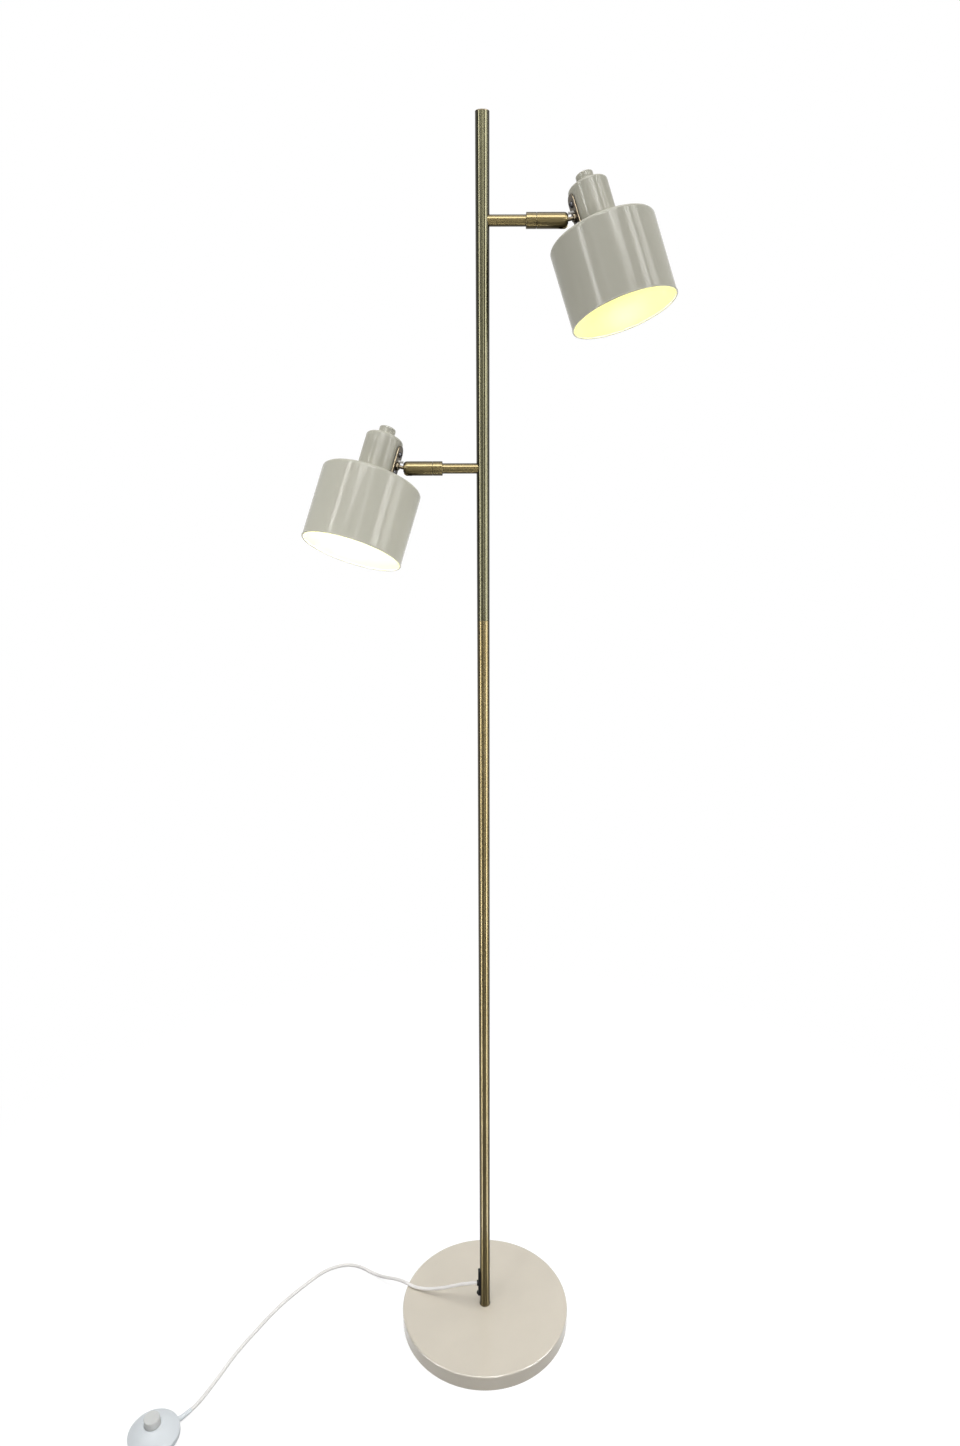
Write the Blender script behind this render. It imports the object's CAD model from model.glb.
"""Floor lamp with two swivelling spots: its finishes and fine parts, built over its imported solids.

Shapes are worked out in millimetres and put into the frame in metres. A finish is a node material.
"""
import math

import bpy
import numpy as np
from bpy.props import FloatProperty, FloatVectorProperty, IntProperty, PointerProperty
from mathutils import Matrix, Vector


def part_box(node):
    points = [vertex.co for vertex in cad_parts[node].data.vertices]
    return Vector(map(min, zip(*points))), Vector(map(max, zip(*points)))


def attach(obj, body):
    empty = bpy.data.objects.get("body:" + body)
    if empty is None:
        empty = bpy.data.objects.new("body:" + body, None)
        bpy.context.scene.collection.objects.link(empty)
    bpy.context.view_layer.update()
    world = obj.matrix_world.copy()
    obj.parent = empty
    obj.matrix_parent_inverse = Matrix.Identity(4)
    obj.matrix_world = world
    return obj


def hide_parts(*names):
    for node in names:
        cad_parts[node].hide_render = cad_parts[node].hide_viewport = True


bl_info = {
    "name": "Two-Spot Floor Lamp",
    "version": (1, 0, 0),
    "blender": (4, 5, 0),
    "location": "3D View > Sidebar > Lamp",
    "description": "Finishes and fine parts of a two-spot floor lamp, built over its solids",
    "category": "Add Mesh",
}

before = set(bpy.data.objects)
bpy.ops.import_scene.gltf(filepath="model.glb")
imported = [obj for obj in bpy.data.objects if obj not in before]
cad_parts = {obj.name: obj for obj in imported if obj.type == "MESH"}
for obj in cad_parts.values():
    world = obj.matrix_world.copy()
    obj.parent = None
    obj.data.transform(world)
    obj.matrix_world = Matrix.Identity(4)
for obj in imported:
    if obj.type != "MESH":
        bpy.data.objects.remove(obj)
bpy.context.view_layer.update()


def extent(node):
    """Lowest and highest corner of a solid, in millimetres."""
    return [np.array(corner) * 1000 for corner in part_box(node)]


# ---- places, in millimetres

HEADS = ("upper", "lower")
POLE_R = extent("pole_lower_tube")[1][0]
BASE_R = extent("base_cover")[1][0]
BASE_TOP = extent("base_cover")[1][2]
JOINTS = [extent(f"pole_{part}_tube")[0][2] for part in ("lower", "middle", "upper")]
POLE_TOP = extent("pole_upper_tube")[1][2]
ARM_Z = {head: float(np.mean([c[2] for c in extent(f"{head}_swivel_collar")])) for head in HEADS}
COLLAR_X, SWIVEL_X, PIVOT_X = 46.0, 57.0, 86.0
TURN = {"upper": 13.0, "lower": 21.5}
TILT = {"upper": 17.5, "lower": 16.0}
BALL_YAW = 12.0
PLATE_X, PLATE_T, PLATE_L, PLATE_W, PLATE_MIDDLE = 13.4, 1.6, 42.0, 16.0, 3.0
SCREW_PITCH = 21.5
SHADE_X, SHADE_WALL = 36.75, 0.8
NECK_R, NECK_TOP = 21.75, 30.0
DRUM_R, DRUM_TOP, RIM_Z = 58.0, -22.0, -107.5
CAP_R, CAP_H, CAP_BORE_R = 9.5, 11.5, 4.95
SHEET_T = 1.2  # wall of the base cover and of the pole's tubes
ROD_BORE_R = 5.05  # hole for the rod in the base cover and in the foot
SWITCH = np.array([-446.0, -191.0])
CORD_IN, CORD_OUT = math.radians(40), math.radians(230)
CORD_SEAT = 33.8  # from the switch's axis to the end of either cord
TAIL_WAY = np.array([math.cos(CORD_OUT), math.sin(CORD_OUT)])
COIL_R, COIL_STEP, COIL_TURNS = 36.0, 5.5, 6  # the step lies between loops and between layers
TAIL_START = SWITCH + TAIL_WAY * CORD_SEAT
COIL_TOUCH = TAIL_START + TAIL_WAY * 46
COIL_MIDDLE = COIL_TOUCH + np.array([-TAIL_WAY[1], TAIL_WAY[0]]) * COIL_R


def on_arm(head):
    """Place of a piece drawn along +X, on one head's arm. The lower arm is the mirror image."""
    side = 1 if head == "upper" else -1
    return Matrix.Translation((0, 0, ARM_Z[head])) @ Matrix.Diagonal((side, 1, 1, 1))


def on_head(head):
    """Place of a piece drawn about the ball's centre, turned and tilted with the head."""
    return (
        on_arm(head)
        @ Matrix.Rotation(math.radians(-TURN[head]), 4, "X")
        @ Matrix.Translation((PIVOT_X, 0, 0))
        @ Matrix.Rotation(math.radians(-TILT[head]), 4, "Y")
        @ Matrix.Rotation(math.radians(BALL_YAW), 4, "Z")
    )


ALONG_X = Matrix.Rotation(math.radians(90), 4, "Y")


# ---- surfaces


def rounded(corners, radii, steps=6):
    """Outline through corners, each cut by an arc of its radius: the arc leaves the edges at
    r tan(t/2) from the corner, where t is the turn there, with a guard point just outside each end."""
    corners = np.asarray(corners, float)
    out = []
    for k, radius in enumerate(radii):
        here = corners[k]
        if radius <= 0 or k in (0, len(corners) - 1):
            out.append(here[None])
            continue
        back, on = corners[k - 1] - here, corners[k + 1] - here
        back, on = back / np.linalg.norm(back), on / np.linalg.norm(on)
        turn = math.pi - math.acos(float(np.clip(back @ on, -1, 1)))
        reach = radius * math.tan(turn / 2)
        middle = here + (back + on) / np.linalg.norm(back + on) * radius / math.cos(turn / 2)
        start, side = here + back * reach - middle, here + on * reach - middle
        s = np.linspace(0, 1, steps + 1)[:, None]
        arc = middle + (np.sin((1 - s) * turn) * start + np.sin(s * turn) * side) / math.sin(turn)
        guard = reach * 0.25
        out += [(here + back * (reach + guard))[None], arc, (here + on * (reach + guard))[None]]
    return np.concatenate(out)


def divided(outline, step):
    """The outline with its long edges cut into pieces no longer than step."""
    out = [outline[:1]]
    for a, b in zip(outline[:-1], outline[1:]):
        parts = max(1, math.ceil(np.linalg.norm(b - a) / step))
        out.append(a + (b - a) * np.linspace(0, 1, parts + 1)[1:, None])
    return np.concatenate(out)


def around(columns):
    """Angle of each column round a shape."""
    return np.arange(columns) * 2 * math.pi / columns


def lathe(outline, columns):
    """Surface of revolution: the outline's (r, h) at angle a becomes (r cos a, r sin a, h)."""
    a = around(columns)
    r, h = outline.T[:, :, None]
    return np.stack([r * np.cos(a), r * np.sin(a), np.repeat(h, columns, 1)], -1)


def sheet(x, y, z):
    """Grid of points with one x for each row and its own y and z for each point."""
    return np.stack([np.repeat(x[:, None], y.shape[1], 1), y, z], -1)


def put(points, place=Matrix()):
    """Points in millimetres, placed and turned into metres."""
    m = np.array(place)
    return (points @ m[:3, :3].T + m[:3, 3]) * 0.001


def smooth_path(points, steps):
    """Catmull-Rom curve through every point: between b and c with outer neighbours a and d,
    (2b + (c-a)t + (2a-5b+4c-d)t2 + (3b-a-3c+d)t3) / 2."""
    p = np.asarray(points, float)
    p = np.concatenate([[2 * p[0] - p[1]], p, [2 * p[-1] - p[-2]]])
    a, b, c, d = (p[k : len(p) - 3 + k, None] for k in range(4))
    t = np.linspace(0, 1, steps, endpoint=False)[None, :, None]
    curve = 0.5 * (2 * b + (c - a) * t + (2 * a - 5 * b + 4 * c - d) * t**2 + (3 * b - a - 3 * c + d) * t**3)
    return np.concatenate([curve.reshape(-1, 3), p[-2:-1]])


def carried(path, radius, columns):
    """A round section carried along a path: the point at angle a is path + r (cos a side + sin a up), with
    side level and up square to side and to the way the path runs. A closed end row sits at each end."""
    way = np.gradient(path, axis=0)
    way /= np.linalg.norm(way, axis=1)[:, None]
    side = np.cross(way, [0, 0, 1.0])
    side /= np.linalg.norm(side, axis=1)[:, None]
    up = np.cross(side, way)
    a = around(columns)[None, :, None]
    r = np.broadcast_to(radius, len(path))[:, None, None]
    rows = path[:, None] + r * (np.cos(a) * side[:, None] + np.sin(a) * up[:, None])
    return np.concatenate([np.repeat(path[:1, None], columns, 1), rows, np.repeat(path[-1:, None], columns, 1)])


def skin(name, grid, ring=False, bands=None):
    """Closed skin over a grid of points. Rows run along the shape and columns round it: point (i, j)
    joins (i, j+1) and (i+1, j), and the last column joins the first. A ring's last row joins its first.
    On any other shape the first and the last row are tips of one shared point each. U is the length along
    the rows and V the share round them. Faces are turned outwards by the sign of the volume they enclose.
    Bands give the number of the finish of each row of faces."""
    rows, columns = grid.shape[:2]
    index = np.arange(rows * columns).reshape(rows, columns)
    if not ring:
        index[0], index[-1] = index[0, 0], index[-1, 0]
    i, j = np.meshgrid(np.arange(rows if ring else rows - 1), np.arange(columns), indexing="ij")
    lower, after = (i + 1) % rows, (j + 1) % columns
    face = np.stack([index[i, j], index[i, after], index[lower, after], index[lower, j]], -1).reshape(-1, 4)
    closed = np.concatenate([grid, grid[:1]]) if ring else grid
    middle = closed.mean(1)
    girth = np.linalg.norm(closed - middle[:, None], axis=2).mean(1)
    steps = np.hypot(np.linalg.norm(np.diff(middle, axis=0), axis=1), np.diff(girth))
    along = np.concatenate([[0], np.cumsum(steps)])
    u = np.stack([along[i], along[i], along[i + 1], along[i + 1]], -1)
    v = np.stack([j, j + 1, j + 1, j], -1) / columns
    uv = np.stack([u, v], -1).reshape(-1, 4, 2)
    points = grid.reshape(-1, 3)
    a, b, c, d = np.moveaxis((points - points.mean(0))[face], 1, 0)
    volume = (a * np.cross(b, c)).sum() + (a * np.cross(c, d)).sum()
    if volume < 0:
        face, uv = face[:, ::-1], uv[:, ::-1]
    keep = face != np.roll(face, -1, axis=1)
    used, loops = np.unique(face[keep], return_inverse=True)
    mesh = bpy.data.meshes.new(name)
    mesh.vertices.add(len(used))
    mesh.vertices.foreach_set("co", points[used].astype(np.float32).ravel())
    mesh.loops.add(len(loops))
    mesh.loops.foreach_set("vertex_index", loops.astype(np.int32))
    sizes = keep.sum(1)
    mesh.polygons.add(len(sizes))
    mesh.polygons.foreach_set("loop_start", np.concatenate([[0], np.cumsum(sizes)[:-1]]).astype(np.int32))
    if bands is not None:
        mesh.polygons.foreach_set("material_index", np.repeat(bands, columns).astype(np.int32))
    mesh.uv_layers.new(name="surface").data.foreach_set("uv", uv[keep].astype(np.float32).ravel())
    mesh.update(calc_edges=True)
    mesh.shade_smooth()
    mesh.set_sharp_from_angle(angle=math.radians(38))
    if mesh.validate():
        raise RuntimeError(f"{name}: the grid gave faces that had to be mended")
    piece = bpy.data.objects.new(name, mesh)
    bpy.context.scene.collection.objects.link(piece)
    return piece


FINISHES = {}  # materials by name, which the first step mixes


def add_piece(name, grid, slot, stands_for=(), finishes=(), place=Matrix(), body="stand", ring=False, bands=None):
    """Skin over a grid in millimetres, at its place. It moves with a body and stands for solids, and its
    finish is the one with its slot's name unless others are given."""
    piece = skin(name, put(grid, place), ring, bands)
    for finish in finishes or [slot]:
        piece.data.materials.append(FINISHES[finish])
    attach(piece, body)
    if stands_for:
        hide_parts(*stands_for)
    return piece


def add_to_head(head, name, grid, slot, solid, finishes=(), shift=(0, 0, 0), **skin_settings):
    """Piece of one head, drawn about the ball's centre, that stands for one of the head's solids."""
    place = on_head(head) @ Matrix.Translation(shift)
    add_piece(f"{head}_{name}", grid, slot, [f"{head}_{solid}"], finishes, place, f"{head}_head", **skin_settings)


# ---- finishes


class Nodes:
    """A material with a Principled shader, and short ways to add texture nodes to it."""

    def __init__(self, name, colour, roughness, **sockets):
        self.material = bpy.data.materials.new(name)
        self.material.use_nodes = True
        self.tree = self.material.node_tree
        self.shader = self.tree.nodes["Principled BSDF"]
        self.shader.inputs["Base Color"].default_value = (*colour, 1)
        self.shader.inputs["Roughness"].default_value = roughness
        for socket, value in sockets.items():
            self.shader.inputs[socket.replace("_", " ")].default_value = value

    def add(self, kind, **settings):
        """Node with settings, each a field of the node or else the value of a socket."""
        node = self.tree.nodes.new("ShaderNode" + kind)
        for key, value in settings.items():
            if hasattr(node, key):
                setattr(node, key, value)
            else:
                node.inputs[key.replace("_", " ")].default_value = value
        return node

    def join(self, a, b):
        self.tree.links.new(a, b)

    def coordinates(self, source="Object", scale=(1, 1, 1)):
        """Object coordinates in metres or the piece's own UV, stretched by scale."""
        start = self.add("TexCoord")
        mapping = self.add("Mapping", Scale=scale)
        self.join(start.outputs[source], mapping.inputs["Vector"])
        return mapping.outputs["Vector"]

    def noise(self, vector, scale, detail=2.0):
        node = self.add("TexNoise", Scale=scale, Detail=detail)
        self.join(vector, node.inputs["Vector"])
        return node.outputs["Fac"]

    def tone(self, fac, dark, light, low=0.3, high=0.7):
        """Base colour that runs from dark to light as the texture's value goes from low to high."""
        ramp = self.add("ValToRGB")
        first, last = ramp.color_ramp.elements
        first.position, first.color = low, (*dark, 1)
        last.position, last.color = high, (*light, 1)
        self.join(fac, ramp.inputs["Fac"])
        self.join(ramp.outputs["Color"], self.shader.inputs["Base Color"])

    def gloss(self, fac, low, high):
        """Roughness that runs from low to high with the texture's value."""
        node = self.add("MapRange")
        node.inputs["To Min"].default_value, node.inputs["To Max"].default_value = low, high
        self.join(fac, node.inputs["Value"])
        self.join(node.outputs["Result"], self.shader.inputs["Roughness"])

    def relief(self, fac, depth, strength=1.0):
        """Bump of this depth in metres, laid over any earlier one."""
        node = self.add("Bump", Strength=strength, Distance=depth)
        self.join(fac, node.inputs["Height"])
        before = self.shader.inputs["Normal"].links
        if before:
            self.join(before[0].from_socket, node.inputs["Normal"])
        self.join(node.outputs["Normal"], self.shader.inputs["Normal"])


def shade_of(colour, factor):
    return tuple(float(c) * factor for c in colour)


def grained(name, colour, roughness, tone, gloss, grain, stretch=(1, 1, 1), **sockets):
    """Finish that follows noise: tone is (scale, detail, darkest, lightest), gloss is (scale, lowest and
    highest roughness) and grain is (scale, detail, depth in metres, strength)."""
    n = Nodes(name, colour, roughness, **sockets)
    place = n.coordinates("Object", stretch)
    scale, detail, dark, light = tone
    n.tone(n.noise(place, scale, detail), shade_of(colour, dark), shade_of(colour, light))
    scale, low, high = gloss
    n.gloss(n.noise(place, scale, 2), low, high)
    scale, detail, depth, strength = grain
    n.relief(n.noise(place, scale, detail), depth, strength)
    return n


def gloss_paint(name, colour, mirror=0.04, coat=0.035):
    """Baked gloss enamel: faint cloudy tone, a fine orange-peel skin and a clear hard surface."""
    n = grained(name, colour, 0.13, (14, 3, 0.965, 1.03), (60, 0.128, 0.14), (420, 2, 0.00002, 0.05),
                Specular_IOR_Level=mirror, Coat_Weight=coat, Coat_Roughness=0.08)
    n.relief(n.noise(n.coordinates(), 22, 1), 0.0006, 0.03)
    return n.material


def white_enamel(name, colour):
    """Satin white inside of the shades, with the grain of a thin sprayed coat."""
    return grained(name, colour, 0.32, (30, 2, 0.97, 1), (200, 0.28, 0.38), (900, 2, 0.00004, 0.4),
                   Specular_IOR_Level=0.4).material


def satin_brass(name, dark, light, source="UV"):
    """Lacquered satin brass: turned lines run round it, so highlights spread along its length."""
    n = Nodes(name, light, 0.3, Metallic=1.0, Anisotropic=0.97, Coat_Weight=0.12, Coat_Roughness=0.12)
    place = n.coordinates()
    n.tone(n.noise(place, 5, 3), dark, light, 0.25, 0.75)
    if source == "UV":
        lines = n.noise(n.coordinates("UV", (1400, 0, 0)), 1, 2)
        way = n.add("Tangent", direction_type="UV_MAP", uv_map="surface")
    else:
        lines = n.noise(n.coordinates("Object", (500, 4, 4)), 1, 2)
        way = n.add("Tangent", direction_type="RADIAL", axis="X")
        n.shader.inputs["Anisotropic Rotation"].default_value = 0.25
    n.join(way.outputs["Tangent"], n.shader.inputs["Tangent"])
    n.gloss(lines, 0.285, 0.315)
    n.relief(lines, 0.00001, 0.015)
    return n.material


def aged_bronze(name, colour):
    """Dark patinated brass with rubbed lighter patches."""
    return grained(name, colour, 0.38, (180, 4, 0.7, 1.25), (500, 0.3, 0.48), (1400, 3, 0.00004, 0.4),
                   Metallic=1.0).material


def bare_metal(name, colour, roughness):
    """Plated or bare steel with a fine grain and slight unevenness of tone."""
    return grained(name, colour, roughness, (90, 3, 0.85, 1.1), (900, roughness * 0.8, roughness * 1.25),
                   (900, 2, 0.00003, 0.3), Metallic=1.0).material


def moulding(name, colour, roughness):
    """Moulded plastic with a fine spark-eroded grain."""
    return grained(name, colour, roughness, (20, 2, 0.97, 1.02), (700, roughness * 0.85, roughness * 1.2),
                   (1400, 2, 0.00005, 0.35), Specular_IOR_Level=0.05).material


def cable_jacket(name, colour):
    """Soft plastic jacket of uneven gloss, with handled, slightly greyer patches."""
    n = Nodes(name, colour, 0.42, Specular_IOR_Level=0.05)
    place = n.coordinates()
    n.tone(n.noise(place, 25, 3), shade_of(colour, 0.94), shade_of(colour, 1.02))
    n.gloss(n.noise(n.coordinates("UV"), 60, 2), 0.36, 0.5)
    n.relief(n.noise(place, 800, 2), 0.00004, 0.3)
    return n.material


def cast_iron(name, colour):
    """Rough cast surface."""
    return grained(name, colour, 0.75, (70, 4, 0.7, 1.4), (200, 0.6, 0.9), (350, 4, 0.0004, 0.6),
                   Metallic=0.6).material


def felt(name, colour):
    """Pressed felt: short fibres that mottle it, with a soft sheen."""
    return grained(name, colour, 0.95, (600, 4, 0.6, 1.6), (90, 0.85, 1.0), (1500, 4, 0.0004, 0.8), (1, 1, 0.3),
                   Sheen_Weight=0.4).material


def lit_opal(name, colour, glow, hot, strength):
    """Opal glass of a lit bulb: hot for the first 8 mm from the tip, and in its glow's colour from 34 mm on."""
    n = Nodes(name, colour, 0.3)
    cloud = n.noise(n.coordinates(), 60, 2)
    n.tone(cloud, shade_of(colour, 0.96), colour)
    n.gloss(cloud, 0.22, 0.34)
    up = n.add("SeparateXYZ")
    n.join(n.coordinates("UV"), up.inputs[0])
    share = n.add("MapRange", interpolation_type="SMOOTHSTEP")
    share.inputs["From Min"].default_value, share.inputs["From Max"].default_value = 0.008, 0.034
    n.join(up.outputs["X"], share.inputs["Value"])
    mix = n.add("Mix", data_type="RGBA")
    mix.inputs[6].default_value, mix.inputs[7].default_value = (*hot, 1), (*glow, 1)
    n.join(share.outputs["Result"], mix.inputs["Factor"])
    n.join(mix.outputs[2], n.shader.inputs["Emission Color"])
    n.shader.inputs["Emission Strength"].default_value = strength
    return n.material


# ---- sizes and colours a user would change


def metres(name, description, default, low, high):
    """Length that a user may set between low and high."""
    return FloatProperty(name=name, description=description, default=default, min=low, max=high,
                         unit="LENGTH", precision=5)


def tint(name, description, default):
    """Linear colour that a user may set."""
    return FloatVectorProperty(name=name, description=description, default=default, size=3, min=0, max=1,
                               subtype="COLOR")


def brightness(name, description, default, high):
    """Brightness from 0 to high that a user may set."""
    return FloatProperty(name=name, description=description, default=default, min=0, max=high)


class LampSizes(bpy.types.PropertyGroup):
    """Sizes of the fine parts."""

    cord_diameter: metres("Cord diameter", "Outside diameter of the white cord", 0.005, 0.003, 0.008)
    sleeve_length: metres("Sleeve length", "Length of the tapered sleeves at the foot switch", 0.02, 0.01, 0.04)
    spinning_ripple: metres("Spinning ripple", "Unevenness left in the shades by metal spinning",
                            0.000006, 0.0, 0.0005)
    joint_chamfer: metres("Joint chamfer", "Chamfer on the pole tubes' ends, which marks the joints",
                          0.00025, 0.00005, 0.001)
    thread_pitch: metres("Thread pitch", "Pitch of the thread on the bracket stems", 0.0007, 0.0004, 0.0015)
    tie_width: metres("Tie width", "Width of the tie round the coiled cord", 0.006, 0.003, 0.012)
    plug_ribs: IntProperty(name="Plug ribs", description="Ribs on the plug's tapered neck", default=5, min=2, max=8)


class LampColours(bpy.types.PropertyGroup):
    """Colours of the lamp, linear."""

    shade_paint: tint("Shade paint", "Gloss paint of the shades", (0.5, 0.49, 0.415))
    base_paint: tint("Base paint", "Gloss paint of the base", (0.56, 0.515, 0.437))
    inside: tint("Inside enamel", "White inside of the shades", (0.8, 0.775, 0.46))
    brass: tint("Brass", "Darker tone of the pole's top tube", (0.026, 0.024, 0.013))
    brass_light: tint("Light brass", "Lighter tone of the pole's top tube", (0.039, 0.037, 0.021))
    warm_brass: tint("Warm brass", "Darker tone of the two lower tubes and the arms", (0.042, 0.032, 0.013))
    warm_brass_light: tint("Light warm brass", "Lighter tone of the two lower tubes and the arms",
                           (0.064, 0.051, 0.024))
    bronze: tint("Bronze", "Patinated bracket plates, stems and foot ring", (0.07, 0.058, 0.04))
    black_steel: tint("Black steel", "Blackened bracket screws", (0.03, 0.03, 0.032))
    switch: tint("Switch", "White plastic of the foot switch and plug", (0.64, 0.675, 0.7))
    button: tint("Button", "Foot switch button", (0.56, 0.57, 0.56))
    cord: tint("Cord", "White cord", (0.76, 0.74, 0.72))
    upper_glow: tint("Upper glow", "Light of the upper bulb", (1.0, 0.93, 0.06))
    lower_glow: tint("Lower glow", "Light of the lower bulb", (0.86, 0.88, 1.0))


class StudioLight(bpy.types.PropertyGroup):
    """Light of the studio round the lamp. A streak of 1 is as bright as white."""

    streaks: brightness("Streaks", "Brightness of the tall strips that gloss reflects", 36.0, 80.0)
    fill: brightness("Fill", "Brightness of the three small panels round the lamp", 3.4, 10.0)
    overhead: brightness("Overhead", "Brightness of the overhead panel", 5.7, 20.0)
    ambient: brightness("Ambient", "Brightness of the room", 0.42, 2.0)


class LAMP_OT_finishes(bpy.types.Operator):
    """All finishes by name, from the colours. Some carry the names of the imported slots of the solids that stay"""

    bl_idname = "lamp.finishes"
    bl_label = "Mix the Finishes"

    def execute(self, context):
        colours = context.scene.lamp_colours
        cool = colours.brass, colours.brass_light
        warm = colours.warm_brass, colours.warm_brass_light
        opal = (0.85, 0.85, 0.8)
        FINISHES.update(
            paint=gloss_paint("greige_gloss_paint", colours.shade_paint),
            base_paint=gloss_paint("greige_base_paint", colours.base_paint, 0.28, 0.15),
            inside=white_enamel("white_inside_enamel", colours.inside),
            rim=white_enamel("white_rim_enamel", (0.88, 0.87, 0.82)),
            brass=satin_brass("satin_brass_cast", *warm, "Object"),
            tube_brass=satin_brass("satin_brass_tube", *cool),
            warm_brass=satin_brass("satin_brass_warm", *warm),
            bronze=aged_bronze("aged_bronze", colours.bronze),
            black_steel=bare_metal("blackened_steel", colours.black_steel, 0.35),
            steel=bare_metal("zinc_plated_steel", (0.52, 0.52, 0.5), 0.34),
            nickel=bare_metal("nickel_plate", (0.62, 0.6, 0.56), 0.22),
            iron=cast_iron("cast_iron", (0.06, 0.06, 0.06)),
            felt=felt("pressed_felt", (0.03, 0.03, 0.032)),
            black_plastic=moulding("black_moulding", (0.012, 0.012, 0.013), 0.4),
            seat_plastic=moulding("seat_moulding", (0.03, 0.03, 0.03), 0.5),
            holder_plastic=moulding("holder_moulding", (0.75, 0.74, 0.7), 0.45),
            contact_plastic=moulding("contact_moulding", (0.1, 0.09, 0.08), 0.5),
            sleeve_plastic=moulding("sleeve_moulding", (0.72, 0.72, 0.72), 0.4),
            white_plastic=moulding("white_moulding", colours.switch, 0.38),
            button_plastic=moulding("button_moulding", colours.button, 0.42),
            cable=cable_jacket("white_cable_jacket", colours.cord),
            upper_glow=lit_opal("lit_opal_upper", opal, colours.upper_glow, (3.2, 3.2, 2.9), 4.5),
            lower_glow=lit_opal("lit_opal_lower", opal, colours.lower_glow, (1, 1, 1), 11.0),
        )
        return {"FINISHED"}


# ---- stage

# Panels round the lamp, at azimuths in degrees, with places and sizes in metres.
STRIPS = (  # name, azimuth, distance, width, share of the streaks' brightness
    ("right", 54, 2.2, 0.5, 0.85),
    ("far_right", 76, 2.2, 0.6, 0.45),
    ("left", -57, 2.2, 0.36, 1.0),
    ("near_left", -32, 2.3, 0.1, 0.45),
    ("front", 12, 2.4, 0.3, 0.4),
)
STRIP_HEIGHT, STRIP_LENGTH = 2.0, 4.2
FLOOR_STRIPS = ("right", "left")
FLOOR_REACH = 0.17  # from the pole to where the strips on the floor begin
FILLS = (  # name, azimuth, distance, height, size
    ("left", -35, 0.9, 0.82, 0.2),
    ("right", 62, 0.75, 0.55, 0.36),
    ("side", 95, 0.8, 0.8, 0.36),
)
FILL_AIM, FILL_AREA = 1.15, 0.25
FADE_START, FADE_END = 0.45, 1.1  # where the floor's shadows fade to plain white, from the pole

CAMERA_PLACE = (0, -1.142, 1.258)
CAMERA_PITCH, CAMERA_ROLL = 72.1, -0.132
CAMERA_SHIFT = -0.00256, 0.0293
FOCAL_PX, FRAME_PX = 958, 1446  # focal length and frame height, in the photograph's pixels
SENSOR = 36


def area_light(name, width, tall, radiance):
    """Panel of even radiance, which the camera doesn't see."""
    light = bpy.data.lights.new(name, "AREA")
    light.shape, light.size, light.size_y = "RECTANGLE", width, tall
    light.energy = radiance * math.pi * width * tall
    panel = bpy.data.objects.new(name, light)
    bpy.context.scene.collection.objects.link(panel)
    panel.visible_camera = False
    return panel


def softbox(name, azimuth, distance, height, width, tall, radiance, aim=1.0, gloss_only=True):
    """Panel that faces the lamp at the height aim. Azimuth 0 is at the camera and 90 on the lamp's +X side.
    One that is for gloss only puts its streak on paint and metal and adds no light to the colours."""
    a = math.radians(azimuth)
    panel = area_light(name, width, tall, radiance)
    place = Vector((math.sin(a) * distance, -math.cos(a) * distance, height))
    panel.location = place
    panel.rotation_euler = (Vector((0, 0, aim)) - place).to_track_quat("-Z", "Y").to_euler()
    panel.visible_diffuse = not gloss_only
    return panel


def floor_strip(name, azimuth, distance, width, radiance):
    """Strip on the floor that carries an upright strip's streak on to the lower pole, for gloss only.
    It runs towards the lamp and narrows on its way, as four panels."""
    a = math.radians(azimuth)
    reach = np.geomspace(FLOOR_REACH, distance, 5)
    for k, (near, far) in enumerate(zip(reach[:-1], reach[1:])):
        middle = (near + far) / 2
        panel = area_light(f"{name}_{k}", width * middle / distance, far - near, radiance)
        panel.location = (math.sin(a) * middle, -math.cos(a) * middle, 0.002)
        panel.rotation_euler = (math.pi, 0, a)
        panel.visible_diffuse = False


def wire(tree, *pairs):
    """Joins each output to the input that is paired with it."""
    for output, socket in pairs:
        tree.links.new(output, socket)


def seen_rays(tree):
    """1 for rays from the camera, from gloss and through glass, 0 for the rest."""
    path = tree.nodes.new("ShaderNodeLightPath")
    first, last = tree.nodes.new("ShaderNodeMath"), tree.nodes.new("ShaderNodeMath")
    first.operation = last.operation = "MAXIMUM"
    wire(tree, (path.outputs["Is Camera Ray"], first.inputs[0]), (path.outputs["Is Glossy Ray"], first.inputs[1]),
         (first.outputs[0], last.inputs[0]), (path.outputs["Is Transmission Ray"], last.inputs[1]))
    return last.outputs[0]


def white_room(ambient):
    """World that is white where it is seen and lights the lamp by ambient."""
    world = bpy.data.worlds.new("white_room")
    world.use_nodes = True
    tree = world.node_tree
    room, white = tree.nodes["Background"], tree.nodes.new("ShaderNodeBackground")
    for background, strength in ((room, ambient), (white, 1.0)):
        background.inputs["Color"].default_value = (1, 1, 1, 1)
        background.inputs["Strength"].default_value = strength
    mix = tree.nodes.new("ShaderNodeMixShader")
    wire(tree, (seen_rays(tree), mix.inputs["Fac"]), (room.outputs[0], mix.inputs[1]),
         (white.outputs[0], mix.inputs[2]), (mix.outputs[0], tree.nodes["World Output"].inputs["Surface"]))
    return world


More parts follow.
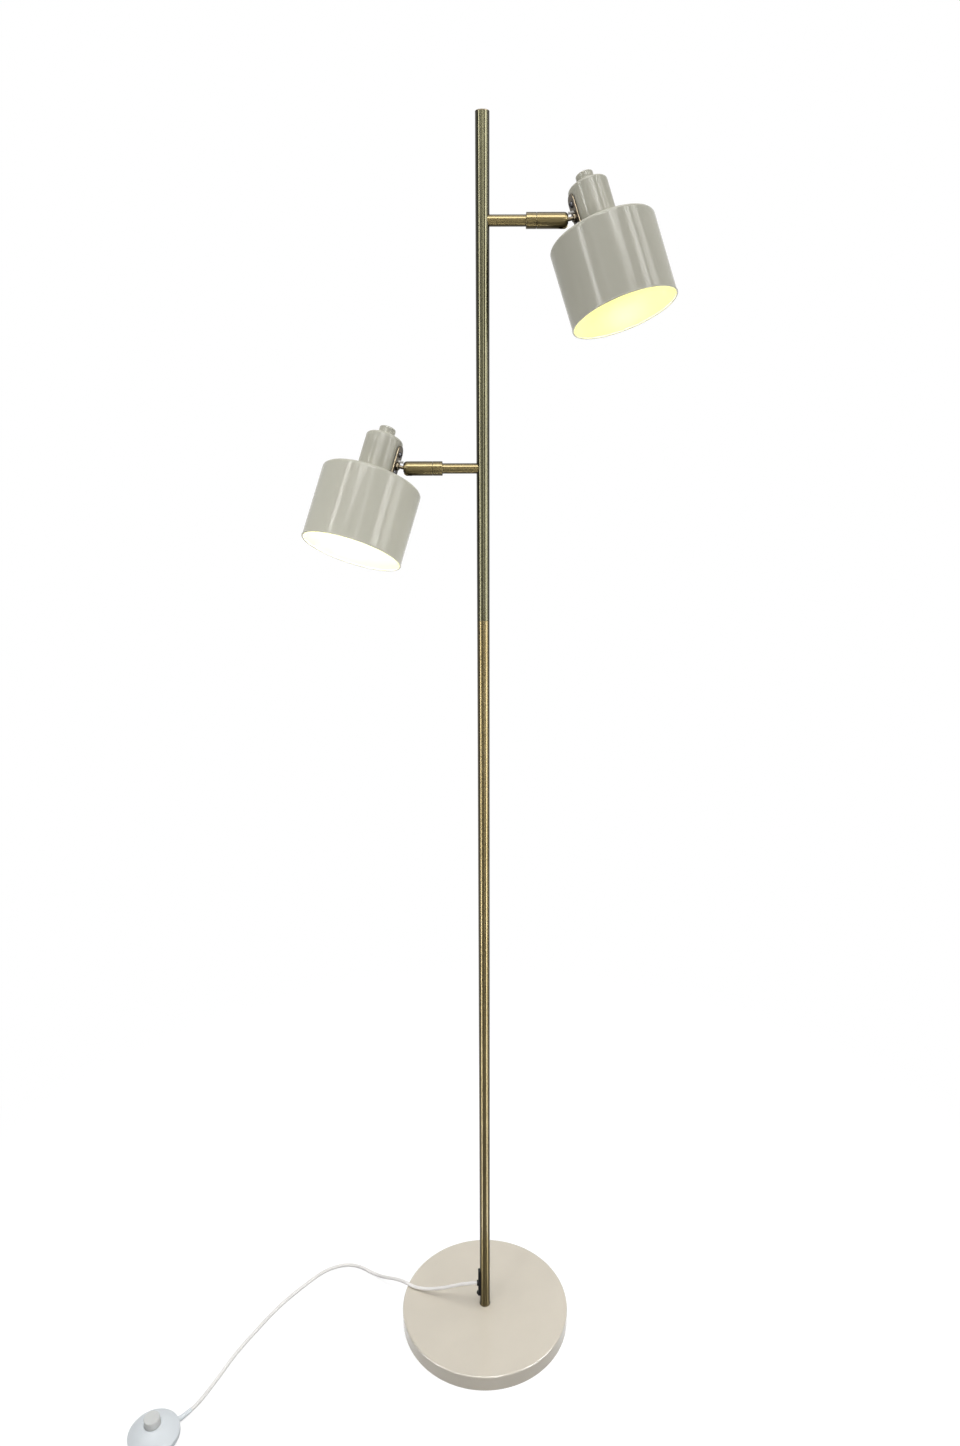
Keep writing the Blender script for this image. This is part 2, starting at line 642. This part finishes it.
def white_paper():
    """Floor paper. Where it is seen, it takes faint shadows near the lamp and fades to plain white."""
    paper = bpy.data.materials.new("white_paper")
    paper.use_nodes = True
    tree = paper.node_tree
    tree.nodes.clear()
    add = lambda kind: tree.nodes.new("ShaderNode" + kind)
    out, lit, seen, glow, white = (
        add(kind) for kind in ("OutputMaterial", "BsdfDiffuse", "BsdfDiffuse", "Emission", "Emission"))
    lit.inputs["Color"].default_value = (0.52, 0.52, 0.52, 1)
    seen.inputs["Color"].default_value = (0.3, 0.3, 0.3, 1)
    glow.inputs["Strength"].default_value = 0.75
    near, ground, last = add("AddShader"), add("MixShader"), add("MixShader")
    place, far, fade = add("TexCoord"), add("VectorMath"), add("MapRange")
    far.operation, fade.interpolation_type = "LENGTH", "SMOOTHSTEP"
    fade.inputs["From Min"].default_value, fade.inputs["From Max"].default_value = FADE_START, FADE_END
    wire(tree, (place.outputs["Object"], far.inputs[0]), (far.outputs["Value"], fade.inputs["Value"]),
         (seen.outputs[0], near.inputs[0]), (glow.outputs[0], near.inputs[1]),
         (fade.outputs["Result"], ground.inputs["Fac"]), (near.outputs[0], ground.inputs[1]),
         (white.outputs[0], ground.inputs[2]), (seen_rays(tree), last.inputs["Fac"]),
         (lit.outputs[0], last.inputs[1]), (ground.outputs[0], last.inputs[2]),
         (last.outputs[0], out.inputs["Surface"]))
    return paper


class LAMP_OT_stage(bpy.types.Operator):
    """Pale floor, white surroundings, soft lights and the camera"""

    bl_idname = "lamp.stage"
    bl_label = "Stage and Camera"

    def execute(self, context):
        scene = context.scene
        light = scene.lamp_light
        scene.view_settings.view_transform = "Standard"
        scene.world = white_room(light.ambient)

        mesh = bpy.data.meshes.new("floor")
        mesh.from_pydata([(-30, -30, 0), (30, -30, 0), (30, 30, 0), (-30, 30, 0)], [], [(0, 1, 2, 3)])
        mesh.materials.append(white_paper())
        floor = bpy.data.objects.new("floor", mesh)
        scene.collection.objects.link(floor)

        for name, azimuth, distance, width, share in STRIPS:
            radiance = light.streaks * share
            softbox(f"strip_{name}", azimuth, distance, STRIP_HEIGHT, width, STRIP_LENGTH, radiance, STRIP_HEIGHT)
            if name in FLOOR_STRIPS:
                floor_strip(f"floor_strip_{name}", azimuth, distance, width, radiance)
        softbox("front_top", 0, 1.4, 3.1, 1.6, 1.1, light.streaks * 0.8)
        for name, azimuth, distance, height, size in FILLS:
            radiance = light.fill * FILL_AREA / size**2
            panel = softbox(f"fill_{name}", azimuth, distance, height, size, size, radiance, FILL_AIM, False)
            panel.visible_glossy = False
        softbox("overhead", 0, 0.5, 8, 5, 5, light.overhead, 0.0, False)

        view = bpy.data.cameras.new("camera")
        view.sensor_width = SENSOR
        view.lens = FOCAL_PX / FRAME_PX * SENSOR
        view.shift_x, view.shift_y = CAMERA_SHIFT
        camera = bpy.data.objects.new("camera", view)
        scene.collection.objects.link(camera)
        camera.matrix_world = (
            Matrix.Translation(CAMERA_PLACE)
            @ Matrix.Rotation(math.radians(CAMERA_PITCH), 4, "X")
            @ Matrix.Rotation(math.radians(CAMERA_ROLL), 4, "Z")
        )
        scene.camera = camera
        return {"FINISHED"}


# ---- cords, switch and plug


def lead_line():
    """Centre line of the lead, from the outlet over the base's edge and along the floor to the switch."""
    way = np.array([math.cos(CORD_IN), math.sin(CORD_IN)])
    near, end = SWITCH + way * (CORD_SEAT + 7), SWITCH + way * CORD_SEAT
    points = [
        (-12, 0, 64), (-18, 0, 63.8), (-27, 1.5, 61), (-38, 5, 55.5), (-50, 8, 49.5), (-64, 11, 43),
        (-87, 18, 33.5), (-107, 26, 28.4), (-120, 33, 28.1), (-132, 41, 26.3), (-144, 50, 20.5),
        (-156, 60, 12.5), (-169, 70, 6), (-184, 80, 3), (-203, 91, 2.5), (-222, 95, 2.5), (-242, 91, 2.5),
        (-264, 78, 2.5), (-292, 49, 2.5), (-320, 14, 2.5), (-346, -29, 2.5), (-366, -66, 2.5),
        (-379, -97, 2.5), (-390, -123, 2.6), (-401, -146, 3.2), (*near, 4.3), (*end, 4.5),
    ]
    return smooth_path(points, 6)


def tail_line():
    """Centre line of the tail from the switch, and of the coil of two layers that it runs into. After t
    turns the coil's radius is 36 - 5.5 min(t, 6 - t), and it climbs 5.5 mm in the half turn about t = 3."""
    reach = np.array([0, 10, 20, 30, 40.0])
    tail = np.column_stack([TAIL_START + TAIL_WAY * reach[:, None], [4.5, 4.2, 3.3, 2.6, 2.5]])
    t = np.linspace(0, COIL_TURNS, COIL_TURNS * 48 + 1)
    r = COIL_R - COIL_STEP * np.minimum(t, COIL_TURNS - t)
    a = CORD_OUT - math.pi / 2 + 2 * math.pi * t
    z = 2.5 + COIL_STEP * np.clip(2 * (t - COIL_TURNS / 2) + 0.5, 0, 1)
    coil = np.column_stack([COIL_MIDDLE[0] + r * np.cos(a), COIL_MIDDLE[1] + r * np.sin(a), z])
    end = np.array([[*(COIL_TOUCH + TAIL_WAY * 12), 2.5 + COIL_STEP]])
    return np.concatenate([smooth_path(tail, 4), coil, end])


class LAMP_OT_foot_switch(bpy.types.Operator):
    """Foot switch: lower half, dome, button and the tapered sleeves where the cord goes in and out"""

    bl_idname = "lamp.foot_switch"
    bl_label = "Foot Switch"

    def execute(self, context):
        place = Matrix.Translation((*SWITCH, 0))
        base = rounded(
            [(0, 0), (32.2, 0), (34, 2.6), (34, 7.4), (33.3, 7.5), (33.3, 8), (32.2, 8), (32.2, 1.8), (0, 1.8)],
            [0, 0.8, 1.5, 0.3, 0, 0, 0.2, 0.5, 0])
        add_piece("foot_switch_lower_half", lathe(divided(base, 6), 128), "white_plastic",
                  ["switch_base"], place=place)
        dome = rounded(
            [(33, 8.05), (34, 8.1), (34, 9.4), (32, 11.3), (23.75, 18.9), (13.5, 25), (10.9, 25), (10.9, 23.2),
             (13.2, 23.2), (23, 17.2), (31, 10.2), (32, 8.05)],
            [0, 0.25, 1.2, 4, 30, 2.4, 0.4, 0, 3, 12, 0.5, 0])
        add_piece("foot_switch_dome", lathe(divided(dome, 4), 128), "white_plastic",
                  ["switch_cover"], place=place, ring=True)
        button = rounded(
            [(0, 35.5), (7.5, 35.7), (9.6, 36), (10.5, 35), (10.5, 22.9), (12.5, 22.9), (12.5, 21.2), (0, 21.2)],
            [0, 6, 1.0, 1.2, 0.3, 0.2, 0.2, 0])
        add_piece("foot_switch_button", lathe(divided(button, 3), 96), "white_plastic",
                  ["switch_button"], ["button_plastic"], place, "switch_key")
        span = context.scene.lamp_sizes.sleeve_length * 1000
        for name, line in (("cord_sleeve_in", lead_line()[::-1]), ("cord_sleeve_out", tail_line())):
            far = np.concatenate([[0], np.cumsum(np.linalg.norm(np.diff(line, axis=0), axis=1))])
            s = np.linspace(-1.2, span, 40)
            path = np.column_stack([np.interp(s, far, line[:, k]) for k in range(3)])
            way = line[1, :2] - line[0, :2]
            path[:, :2] += np.minimum(s, 0)[:, None] * way / np.linalg.norm(way)
            groove = 0.18 * (np.sin(s * 2 * math.pi / 2.6) > 0.2) * (s > 1.5)
            radius = 3.7 - 0.95 * np.clip(s / span, 0, 1) - groove
            radius[-1] = 2.55
            add_piece(name, carried(path, radius, 24), "white_plastic")
        return {"FINISHED"}


class LAMP_OT_plug(bpy.types.Operator):
    """Flat two-pin plug with a ribbed neck, at the end of the coil"""

    bl_idname = "lamp.plug"
    bl_label = "Plug"

    def execute(self, context):
        line = tail_line()
        way = line[-1] - line[-2]
        way[2] = 0
        way /= np.linalg.norm(way)
        place = Matrix.Translation(line[-1]) @ Matrix.Rotation(math.atan2(way[1], way[0]), 4, "Z")
        ribs = context.scene.lamp_sizes.plug_ribs
        neck_end, body_end, columns = 20, 54, 72
        x = np.concatenate([[0], np.linspace(0.01, neck_end, 60), np.linspace(neck_end + 0.6, body_end - 0.8, 24),
                            [body_end - 0.2, body_end, body_end]])
        neck = np.clip(x / neck_end, 0, 1)
        shoulder = np.clip((x - neck_end + 2) / 8, 0, 1)
        shoulder = shoulder * shoulder * (3 - 2 * shoulder)
        edge = np.where(x > body_end - 1, 0.9 * (x - body_end + 1) ** 2, 0)
        wave = np.clip(np.sin(2 * math.pi * ribs * x / neck_end) * 2, 0, 1)
        groove = 0.35 * wave * (x > 1) * (x < neck_end - 1)
        wide = 3.7 + 2.6 * neck - groove + shoulder * 10.7 - edge
        high = 3.7 + 2.4 * neck - groove + shoulder * 1.9 - edge
        wide[0] = high[0] = wide[-1] = high[-1] = 0
        power = 2 + 2.2 * shoulder
        c, s = np.cos(around(columns)), np.sin(around(columns))
        y = wide[:, None] * np.sign(c) * np.abs(c) ** (2 / power[:, None])
        z = high[:, None] * np.sign(s) * np.abs(s) ** (2 / power[:, None])
        add_piece("plug_body_moulded", sheet(x, y, z), "white_plastic", ["plug_body"], place=place)
        pin_start, pin_end, pin_r = body_end - 2, body_end + 19, 2
        pin = rounded([(0, pin_start), (pin_r, pin_start), (pin_r, pin_end), (0, pin_end)], [0, 0.2, 1.7, 0])
        for name, side in (("plug_pin_right", -9.5), ("plug_pin_left", 9.5)):
            where = place @ Matrix.Translation((0, side, 0)) @ ALONG_X
            add_piece(name, lathe(pin, 32), "nickel", ["plug_pins"], place=where)
        return {"FINISHED"}


class LAMP_OT_cords(bpy.types.Operator):
    """White cord: the lead to the foot switch, the tail with its coil, and the tie round the coil"""

    bl_idname = "lamp.cords"
    bl_label = "Cords"

    def execute(self, context):
        sizes = context.scene.lamp_sizes
        thick = sizes.cord_diameter
        radius = thick * 500
        lead_path, tail_path = lead_line(), tail_line()
        lead = add_piece("supply_lead", carried(lead_path, radius, 20), "cable", ["cord_lead"])
        tail = add_piece("supply_tail", carried(tail_path, radius, 16), "cable", ["cord_tail", "cord_coil"])

        out = np.array([math.cos(CORD_OUT + math.pi * 0.75), math.sin(CORD_OUT + math.pi * 0.75)])
        a = np.linspace(0, 2 * math.pi, 64, endpoint=False)
        blunt = lambda v: np.sign(v) * np.abs(v) ** 0.45
        loops = []
        for across, high in ((12.2, 5.0), (11.7, 4.5)):
            reach = 28.2 + across * blunt(np.cos(a))
            loops.append(np.column_stack([COIL_MIDDLE + out * reach[:, None], 5.3 + high * blunt(np.sin(a))]))
        outer, inner = loops
        side = np.array([-out[1], out[0], 0]) * sizes.tie_width * 500
        grid = np.stack([outer - side, outer + side, inner + side, inner - side])
        add_piece("coil_tie", grid, "cable", finishes=["white_plastic"], ring=True)

        return {"FINISHED"}


# ---- base and pole


class LAMP_OT_base(bpy.types.Operator):
    """Pressed base cover with a rounded top edge and a turned-in lower edge"""

    bl_idname = "lamp.base"
    bl_label = "Base"

    def execute(self, context):
        inner = BASE_R - SHEET_T
        under = BASE_TOP - SHEET_T
        outline = rounded([(ROD_BORE_R, BASE_TOP), (BASE_R, BASE_TOP), (BASE_R, 0.5), (inner, 0.5), (inner, under),
                           (ROD_BORE_R, under)], [0, 2.0, 0.6, 0.4, 0.8, 0], steps=10)
        add_piece("base_cover_pressed", lathe(divided(outline, 8), 192), "paint",
                  ["base_cover"], ["base_paint"], ring=True)
        return {"FINISHED"}


class LAMP_OT_pole(bpy.types.Operator):
    """Three satin brass tubes with chamfered ends, the ring under them and the lid on top"""

    bl_idname = "lamp.pole"
    bl_label = "Pole"

    def execute(self, context):
        cut = context.scene.lamp_sizes.joint_chamfer * 1000
        bore, soft = POLE_R - SHEET_T, cut * 0.3
        for part, low, high in zip(("lower", "middle", "upper"), JOINTS, [*JOINTS[1:], POLE_TOP]):
            outline = rounded([(bore, low), (POLE_R - cut, low), (POLE_R, low + cut), (POLE_R, high - cut),
                               (POLE_R - cut, high), (bore, high)], [0, soft, soft, soft, soft, 0], 3)
            add_piece(f"pole_{part}_section", lathe(divided(outline, 40), 64), "brass",
                      [f"pole_{part}_tube"], ["tube_brass" if part == "upper" else "warm_brass"], ring=True)
        foot = rounded([(ROD_BORE_R, 0), (8, 0), (8, 1.5), (6.25, 1.5), (6.25, 21.5), (ROD_BORE_R, 21.5)],
                       [0, 0.3, 0.5, 0, 0.3, 0], 4)
        add_piece("pole_foot_ring", lathe(foot, 64), "bronze", ["pole_foot"],
                  place=Matrix.Translation((0, 0, BASE_TOP)), ring=True)
        lid = rounded([(0, 0.8), (5.8, 0.8), (6.1, 1), (7.1, 1), (7.5, 0.6), (7.5, 0), (6.25, 0), (6.25, -20),
                       (0, -20)], [0, 0.1, 0.1, 0.1, 0.1, 0.1, 0, 0.4, 0], 3)
        add_piece("pole_lid", lathe(lid, 64), "bronze", ["pole_cap"],
                  place=Matrix.Translation((0, 0, POLE_TOP)))
        return {"FINISHED"}


# ---- arms and brackets


class LAMP_OT_arms(bpy.types.Operator):
    """Arm tubes and their collars"""

    bl_idname = "lamp.arms"
    bl_label = "Arms"

    def execute(self, context):
        tube = rounded([(4.75, 3.4), (5.75, 3.4), (5.75, 54), (4.75, 54)], [0, 0.2, 0.2, 0], 3)
        collar = rounded([(5.8, COLLAR_X), (8, COLLAR_X), (8, SWIVEL_X), (4.5, SWIVEL_X), (4.5, 66), (2.7, 66),
                          (2.7, 54), (5.8, 54)], [0, 0.6, 0.35, 0, 0.3, 0, 0, 0], 5)
        for head in HEADS:
            place = on_arm(head) @ ALONG_X
            add_piece(f"{head}_arm_drawn_tube", lathe(divided(tube, 8), 48), "brass",
                      [f"{head}_arm_tube"], ["warm_brass"], place, ring=True)
            add_piece(f"{head}_collar_turned", lathe(divided(collar, 4), 64), "brass",
                      [f"{head}_swivel_collar"], ["warm_brass"], place, ring=True)
        return {"FINISHED"}


def threaded_stem(pitch):
    """Ball and threaded stem along +X: a sphere of radius 5 up to the stem, then a radius of
    2 - 0.16 |2 frac(x/pitch - a/2pi) - 1| at angle a."""
    ball = np.linspace(0, math.pi - math.asin(0.4), 28)
    x = np.concatenate([-5 * np.cos(ball), np.arange(4.7, 20, pitch / 6), [20.0, 20.0]])
    a = around(24)
    r = np.sqrt(np.maximum(0, 25 - x**2))[:, None] * np.ones(24)
    saw = np.abs(2 * np.mod(x[:, None] / pitch - a / (2 * math.pi), 1) - 1)
    r = np.where(x[:, None] > 4.6, 2 - 0.16 * saw, r)
    r[-1] = 0
    return sheet(x, r * np.cos(a), r * np.sin(a))


def nut(start, thick, flats=8.0, bore=2.05):
    """Hexagonal nut along +X. At angle a its side stands at half the flats over cos of the angle to the
    nearest flat's middle, and a cone limits it near both faces."""
    a = (np.arange(72) + 0.5) * 2 * math.pi / 72
    hexagon = flats / 2 / np.cos(np.mod(a, math.pi / 3) - math.pi / 6)
    x = start + np.array([0, 0, 0.3, 0.6, thick - 0.6, thick - 0.3, thick, thick])
    limit = np.array([bore, flats * 0.46, flats * 0.52, flats, flats, flats * 0.52, flats * 0.46, bore])
    r = np.minimum(hexagon[None], limit[:, None])
    return sheet(x, r * np.sin(a), r * np.cos(a))


def pan_screw(turn):
    """Screw along -X from its seat: a head of height 2 sqrt(1 - (r/3.3)^4), less a cross recess where the
    smaller of the two distances from the cross's arms is under 0.55 and r is under 1.9, then a shank."""
    r = np.concatenate([np.linspace(0, 2.1, 22), np.linspace(2.3, 3.3, 9)])
    a = around(96)
    rr = r[:, None] * np.ones(96)
    near = np.minimum(np.abs(rr * np.cos(a + turn)), np.abs(rr * np.sin(a + turn)))
    h = 2 * np.sqrt(np.maximum(0, 1 - (rr / 3.3) ** 4))
    h = h - 1.1 * np.clip((0.6 - near) / 0.15, 0, 1) * np.clip((1.9 - rr) / 0.2, 0, 1)
    shank = np.array([(1.5, 0), (1.5, -5.4), (0, -5.6)])
    rr = np.concatenate([rr, shank[:, :1] * np.ones(96)])
    h = np.concatenate([h, shank[:, 1:] * np.ones(96)])
    return np.stack([-h, rr * np.cos(a), rr * np.sin(a)], -1)


def stadium_plate():
    """Bracket plate: a stadium with straight sides between two half circles, drawn in to its middle on both
    faces and rounded over at the edge by an arc."""
    columns, edge_r, end_r = 96, 0.5, PLATE_W / 2
    a = around(columns)
    e = np.linspace(0, math.pi / 2, 5)
    reach = end_r - edge_r * np.concatenate([1 - np.sin(e), 1 - np.cos(e)])
    x = np.concatenate([edge_r * (1 - np.cos(e)), PLATE_T - edge_r * (1 - np.sin(e))])
    y = reach[:, None] * np.cos(a)
    z = reach[:, None] * np.sin(a) + (PLATE_L / 2 - end_r) * np.sign(np.sin(a))
    share = np.array([0, 0.5, 0.94])[:, None]
    front = np.stack([np.zeros((3, columns)), share * y[0], share * z[0]], -1)
    back = np.stack([np.full((3, columns), PLATE_T), share[::-1] * y[-1], share[::-1] * z[-1]], -1)
    return np.concatenate([front, sheet(x, y, z), back]) + np.array([PLATE_X, 0, PLATE_MIDDLE])


class LAMP_OT_brackets(bpy.types.Operator):
    """Ball stems with thread, chamfered nuts, bracket plates, cross-recess screws and wire sleeves"""

    bl_idname = "lamp.brackets"
    bl_label = "Brackets"

    def execute(self, context):
        stem = threaded_stem(context.scene.lamp_sizes.thread_pitch * 1000)
        nuts = ("outer", PLATE_X - 3), ("inner", PLATE_X + PLATE_T + 1.5)
        screws = ("low", -SCREW_PITCH / 2, 0.3), ("high", SCREW_PITCH / 2, 1.1)
        x = np.linspace(7.4, 19, 30)
        ribbed = 1.5 - 0.12 * (np.sin(x * 2 * math.pi / 1.6) > 0.6)
        sleeve = carried(np.column_stack([x, 0 * x, 6 + 0 * x]), ribbed, 20)
        for head in HEADS:
            add_to_head(head, "threaded_stem", stem, "bronze", "ball_stem")
            for name, start in nuts:
                add_to_head(head, f"{name}_nut", nut(start, 3.0), "bronze", "stem_nuts", ring=True)
            add_to_head(head, "bracket_pressed_plate", stadium_plate(), "bronze", "bracket_plate")
            for name, z, turn in screws:
                add_to_head(head, f"{name}_screw", pan_screw(turn), "black_steel", "bracket_screws",
                            shift=(PLATE_X, 0, PLATE_MIDDLE + z))
            add_to_head(head, "ribbed_sleeve", sleeve, "sleeve_plastic", "wire_sleeve")
        return {"FINISHED"}


# ---- shades and bulbs


def spun_shade(ripple):
    """Shade as one thin shell: the outline runs down the outside, round the rolled rim and up the inside.
    The drum stands out by ripple (sin(z/3.6 + 2a) + 0.6 sin(z/1.8 - 5a)), faded to nothing at its ends."""
    rim_meets, columns = RIM_Z + 0.92, 160
    outer = rounded([(CAP_BORE_R, NECK_TOP), (NECK_R, NECK_TOP), (NECK_R, DRUM_TOP), (DRUM_R, DRUM_TOP),
                     (DRUM_R, rim_meets)], [0, 3, 0.8, 4, 0], 8)
    outer = divided(outer, 4)
    bead = np.radians(np.linspace(66.4, -246.4, 21))[1:-1]
    rim = np.column_stack([DRUM_R - SHADE_WALL / 2 + np.cos(bead), RIM_Z + np.sin(bead)])
    drum_in, neck_in = DRUM_R - SHADE_WALL, NECK_R - SHADE_WALL
    inner = rounded([(drum_in, rim_meets), (drum_in, DRUM_TOP - SHADE_WALL), (neck_in, DRUM_TOP - SHADE_WALL),
                     (neck_in, NECK_TOP - SHADE_WALL), (CAP_BORE_R, NECK_TOP - SHADE_WALL)], [0, 3.2, 0.6, 2.2, 0], 6)
    outline = np.concatenate([outer, rim, divided(inner, 8)])
    grid = lathe(outline, columns)
    a = around(columns)
    z = grid[..., 2]
    fade = np.clip((DRUM_TOP - 4 - z) / 8, 0, 1) * np.clip((z - RIM_Z - 2) / 8, 0, 1)
    wave = 1 + ripple * fade * (np.sin(z / 3.6 + 2 * a) + 0.6 * np.sin(z / 1.8 - 5 * a)) / DRUM_R
    grid[..., :2] *= wave[..., None]
    painted, rim_end = len(outer) + 13, len(outer) + len(rim)
    bands = np.zeros(len(outline))
    bands[painted : len(outline) - 1] = 1
    bands[painted:rim_end] = 2
    return grid + np.array([SHADE_X, 0, 0]), bands


class LAMP_OT_shades(bpy.types.Operator):
    """Spun shades, painted outside and white inside and on the rolled rim, with their round caps"""

    bl_idname = "lamp.shades"
    bl_label = "Shades"

    def execute(self, context):
        shade, bands = spun_shade(context.scene.lamp_sizes.spinning_ripple * 1000)
        outline = rounded([(0, CAP_H), (CAP_R, CAP_H), (CAP_R, 0), (CAP_BORE_R, 0), (CAP_BORE_R, CAP_H - 3),
                           (0, CAP_H - 3)], [0, 1.2, 0.3, 0, 0, 0], 6)
        cap = lathe(divided(outline, 3), 72) + np.array([SHADE_X, 0, NECK_TOP])
        for head in HEADS:
            add_to_head(head, "spun_shade", shade, "paint", "shade", ["paint", "inside", "rim"], ring=True, bands=bands)
            add_to_head(head, "round_cap", cap, "paint", "shade_cap")
        return {"FINISHED"}


class LAMP_OT_bulbs(bpy.types.Operator):
    """Lit opal bulbs"""

    bl_idname = "lamp.bulbs"
    bl_label = "Bulbs"

    def execute(self, context):
        radius, middle, holder_z = 22.5, -61.3, -28.8
        ball = np.radians(np.linspace(-90, 32, 30))
        globe = np.column_stack([radius * np.cos(ball), middle + radius * np.sin(ball)])
        globe[0] = (0, middle - radius)
        throat = rounded([globe[-1], (18.2, -48.0), (8.3, holder_z - 4), (8.3, holder_z), (0, holder_z)],
                         [0, 3, 4, 0.5, 0], 6)
        outline = divided(np.concatenate([globe[:-1], throat]), 4)
        glass = lathe(outline, 72) + np.array([SHADE_X, 0, 0])
        for head in HEADS:
            add_to_head(head, "opal_bulb", glass, "bulb_glass", "bulb_glass", [f"{head}_glow"])
        return {"FINISHED"}


class LAMP_OT_solids(bpy.types.Operator):
    """Finishes of the solids that stay as they are"""

    bl_idname = "lamp.solids"
    bl_label = "Finish the Solids"

    def execute(self, context):
        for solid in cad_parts.values():
            for slot in () if solid.hide_render else solid.material_slots:
                slot.material = FINISHES[slot.material.name.split(".")[0]]
        return {"FINISHED"}


# ---- add-on

STEPS = (LAMP_OT_finishes, LAMP_OT_stage, LAMP_OT_foot_switch, LAMP_OT_plug, LAMP_OT_cords, LAMP_OT_base,
         LAMP_OT_pole, LAMP_OT_arms, LAMP_OT_brackets, LAMP_OT_shades, LAMP_OT_bulbs, LAMP_OT_solids)
GROUPS = {"lamp_sizes": LampSizes, "lamp_colours": LampColours, "lamp_light": StudioLight}


class LAMP_PT_panel(bpy.types.Panel):
    """Steps and settings of the lamp"""

    bl_label = "Two-Spot Floor Lamp"
    bl_idname = "LAMP_PT_panel"
    bl_space_type = "VIEW_3D"
    bl_region_type = "UI"
    bl_category = "Lamp"

    def draw(self, context):
        for name, group in GROUPS.items():
            box = self.layout.box()
            for key in group.__annotations__:
                box.prop(getattr(context.scene, name), key)
        for step in STEPS:
            self.layout.operator(step.bl_idname)


CLASSES = (*GROUPS.values(), *STEPS, LAMP_PT_panel)


def register():
    for kind in CLASSES:
        bpy.utils.register_class(kind)
    for name, group in GROUPS.items():
        setattr(bpy.types.Scene, name, PointerProperty(type=group))


def unregister():
    for name in GROUPS:
        delattr(bpy.types.Scene, name)
    for kind in reversed(CLASSES):
        bpy.utils.unregister_class(kind)


def main():
    register()
    bpy.ops.lamp.finishes()
    bpy.ops.lamp.stage()
    bpy.ops.lamp.foot_switch()
    bpy.ops.lamp.plug()
    bpy.ops.lamp.cords()
    bpy.ops.lamp.base()
    bpy.ops.lamp.pole()
    bpy.ops.lamp.arms()
    bpy.ops.lamp.brackets()
    bpy.ops.lamp.shades()
    bpy.ops.lamp.bulbs()
    bpy.ops.lamp.solids()


if __name__ == "__main__":
    main()
